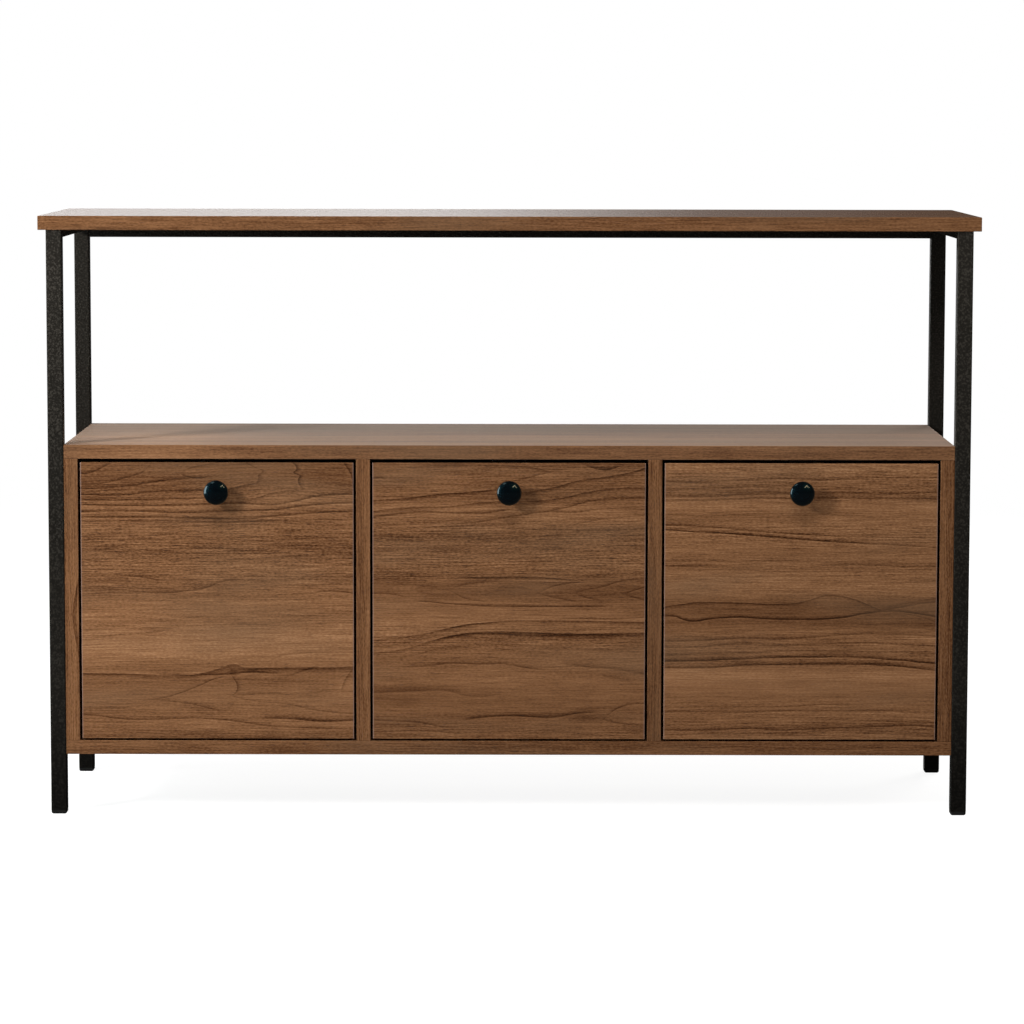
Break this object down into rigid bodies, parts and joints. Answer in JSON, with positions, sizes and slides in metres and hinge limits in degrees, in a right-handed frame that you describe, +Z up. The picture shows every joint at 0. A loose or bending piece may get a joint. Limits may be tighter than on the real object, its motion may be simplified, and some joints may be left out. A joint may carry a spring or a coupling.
{
  "type": "office credenza",
  "caption": "Low office credenza with a walnut-faced top over an open bay and a cabinet of knobbed drop-down doors, on a black square-tube frame.",
  "frame": {"origin": "on the floor, under the middle of the bounding box, knobs included", "axes": "+X along the credenza to its right seen from the front, +Y to its back, +Z up; the doors face -Y"},
  "size_m": [1.2, 0.373, 0.77],
  "materials": {
    "walnut_board": "walnut melamine with open grain texture, satin",
    "back_board": "thin hardboard with printed walnut face",
    "black_powder_coat": "fine-textured black powder coat",
    "foot_plastic": "moulded black plastic",
    "knob_gloss": "glossy lacquer, black with a deep blue-green tint",
    "nickel_steel": "nickel plated",
    "zinc_screw": "zinc plated",
    "black_bolt": "black zinc",
    "zinc_casting": "die-cast zinc, grey",
    "beech_dowel": "plain beech",
    "catch_plastic": "brown moulded plastic"
  },
  "bodies": {
    "root": {"back_panel": "back_board", "cabinet_bottom": "walnut_board", "cabinet_fitting_screws": "zinc_screw", "cabinet_side_left": "walnut_board", "cabinet_side_right": "walnut_board", "cabinet_top": "walnut_board", "cam_bolts": "zinc_casting", "cam_discs": "zinc_casting", "divider_left": "walnut_board", "divider_right": "walnut_board", "dowels": "beech_dowel", "foot_cap_front_left": "foot_plastic", "foot_cap_front_right": "foot_plastic", "foot_cap_rear_left": "foot_plastic", "foot_cap_rear_right": "foot_plastic", "frame_bolts": "black_bolt", "hinge_arms": "nickel_steel", "hinge_plates": "nickel_steel", "leg_front_left": "black_powder_coat", "leg_front_right": "black_powder_coat", "leg_rear_left": "black_powder_coat", "leg_rear_right": "black_powder_coat", "magnetic_catches": "catch_plastic", "rear_rail": "black_powder_coat", "side_rail_left": "black_powder_coat", "side_rail_right": "black_powder_coat", "stay_wall_brackets": "nickel_steel", "threaded_inserts": "zinc_screw", "top_panel": "walnut_board", "top_panel_screws": "zinc_screw"},
    "door_1": {"door_1": "walnut_board", "knob_1": "knob_gloss", "knob_screw_1": "zinc_screw", "hinge_cups_1": "nickel_steel", "hinge_pins_1": "nickel_steel", "door_fitting_screws_1": "zinc_screw", "stay_bracket_1": "nickel_steel", "strike_plate_1": "nickel_steel"},
    "stay_bar_1": {"stay_bar_1": "nickel_steel"},
    "stay_eye_1": {"stay_eye_1": "nickel_steel"},
    "door_2": {"door_2": "walnut_board", "knob_2": "knob_gloss", "knob_screw_2": "zinc_screw", "hinge_cups_2": "nickel_steel", "hinge_pins_2": "nickel_steel", "door_fitting_screws_2": "zinc_screw", "stay_bracket_2": "nickel_steel", "strike_plate_2": "nickel_steel"},
    "stay_bar_2": {"stay_bar_2": "nickel_steel"},
    "stay_eye_2": {"stay_eye_2": "nickel_steel"},
    "door_3": {"door_3": "walnut_board", "knob_3": "knob_gloss", "knob_screw_3": "zinc_screw", "hinge_cups_3": "nickel_steel", "hinge_pins_3": "nickel_steel", "door_fitting_screws_3": "zinc_screw", "stay_bracket_3": "nickel_steel", "strike_plate_3": "nickel_steel"},
    "stay_bar_3": {"stay_bar_3": "nickel_steel"},
    "stay_eye_3": {"stay_eye_3": "nickel_steel"}
  },
  "joints": [
    {"name": "door_1_flap", "type": "hinge", "parent": "root", "child": "door_1", "pos_m": [-0.374, -0.1515, 0.1235], "axis": [1, 0, 0], "range_deg": [0, 90]},
    {"name": "stay_bar_1_pivot", "type": "hinge", "parent": "door_1", "child": "stay_bar_1", "pos_m": [-0.5417, -0.1275, 0.27157], "axis": [1, 0, 0], "range_deg": [-45, 0]},
    {"name": "stay_eye_1_pivot", "type": "hinge", "parent": "root", "child": "stay_eye_1", "pos_m": [-0.5417, -0.05668, 0.23973], "axis": [1, 0, 0], "range_deg": [0, 45]},
    {"name": "door_2_flap", "type": "hinge", "parent": "root", "child": "door_2", "pos_m": [0, -0.1515, 0.1235], "axis": [1, 0, 0], "range_deg": [0, 90]},
    {"name": "stay_bar_2_pivot", "type": "hinge", "parent": "door_2", "child": "stay_bar_2", "pos_m": [-0.1677, -0.1275, 0.27157], "axis": [1, 0, 0], "range_deg": [-45, 0]},
    {"name": "stay_eye_2_pivot", "type": "hinge", "parent": "root", "child": "stay_eye_2", "pos_m": [-0.1677, -0.05668, 0.23973], "axis": [1, 0, 0], "range_deg": [0, 45]},
    {"name": "door_3_flap", "type": "hinge", "parent": "root", "child": "door_3", "pos_m": [0.374, -0.1515, 0.1235], "axis": [1, 0, 0], "range_deg": [0, 90]},
    {"name": "stay_bar_3_pivot", "type": "hinge", "parent": "door_3", "child": "stay_bar_3", "pos_m": [0.2063, -0.1275, 0.27157], "axis": [1, 0, 0], "range_deg": [-45, 0]},
    {"name": "stay_eye_3_pivot", "type": "hinge", "parent": "root", "child": "stay_eye_3", "pos_m": [0.2063, -0.05668, 0.23973], "axis": [1, 0, 0], "range_deg": [0, 45]}
  ],
  "couplings": [
    {"joint": "stay_bar_1_pivot", "follows": "door_1_flap", "ratio": -0.5},
    {"joint": "stay_eye_1_pivot", "follows": "door_1_flap", "ratio": 0.5},
    {"joint": "stay_bar_2_pivot", "follows": "door_2_flap", "ratio": -0.5},
    {"joint": "stay_eye_2_pivot", "follows": "door_2_flap", "ratio": 0.5},
    {"joint": "stay_bar_3_pivot", "follows": "door_3_flap", "ratio": -0.5},
    {"joint": "stay_eye_3_pivot", "follows": "door_3_flap", "ratio": 0.5}
  ]
}
